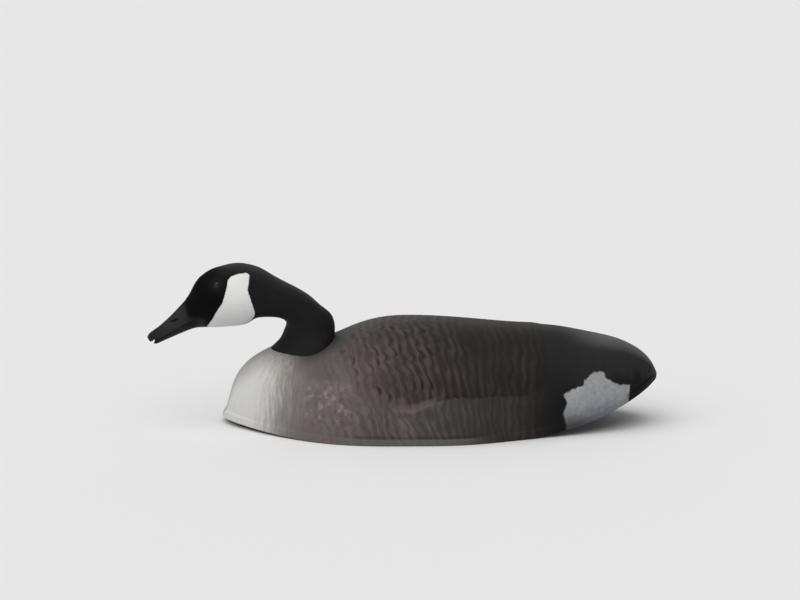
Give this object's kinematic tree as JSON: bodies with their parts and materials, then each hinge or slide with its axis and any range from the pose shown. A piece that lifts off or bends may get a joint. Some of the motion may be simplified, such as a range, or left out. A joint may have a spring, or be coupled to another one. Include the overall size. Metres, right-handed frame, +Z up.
{
  "type": "goose decoy",
  "caption": "Canada goose field decoy in a low, resting pose: a thin hollow body shell, open underneath, with a separate moulded head and neck that plugs into a socket.",
  "frame": {"origin": "on the ground, midway between the tip of the bill and the tip of the tail, on the bird's plane of symmetry", "axes": "+X towards the tail, so that the bird faces -X; +Y towards the bird's right side; +Z up"},
  "size_m": [0.6598, 0.2708, 0.2085],
  "materials": {
    "shell_paint": "matt painted moulded plastic",
    "head_paint": "satin painted moulded plastic"
  },
  "bodies": {
    "root": {"body_shell": "shell_paint", "head_and_neck": "head_paint"}
  },
  "joints": []
}
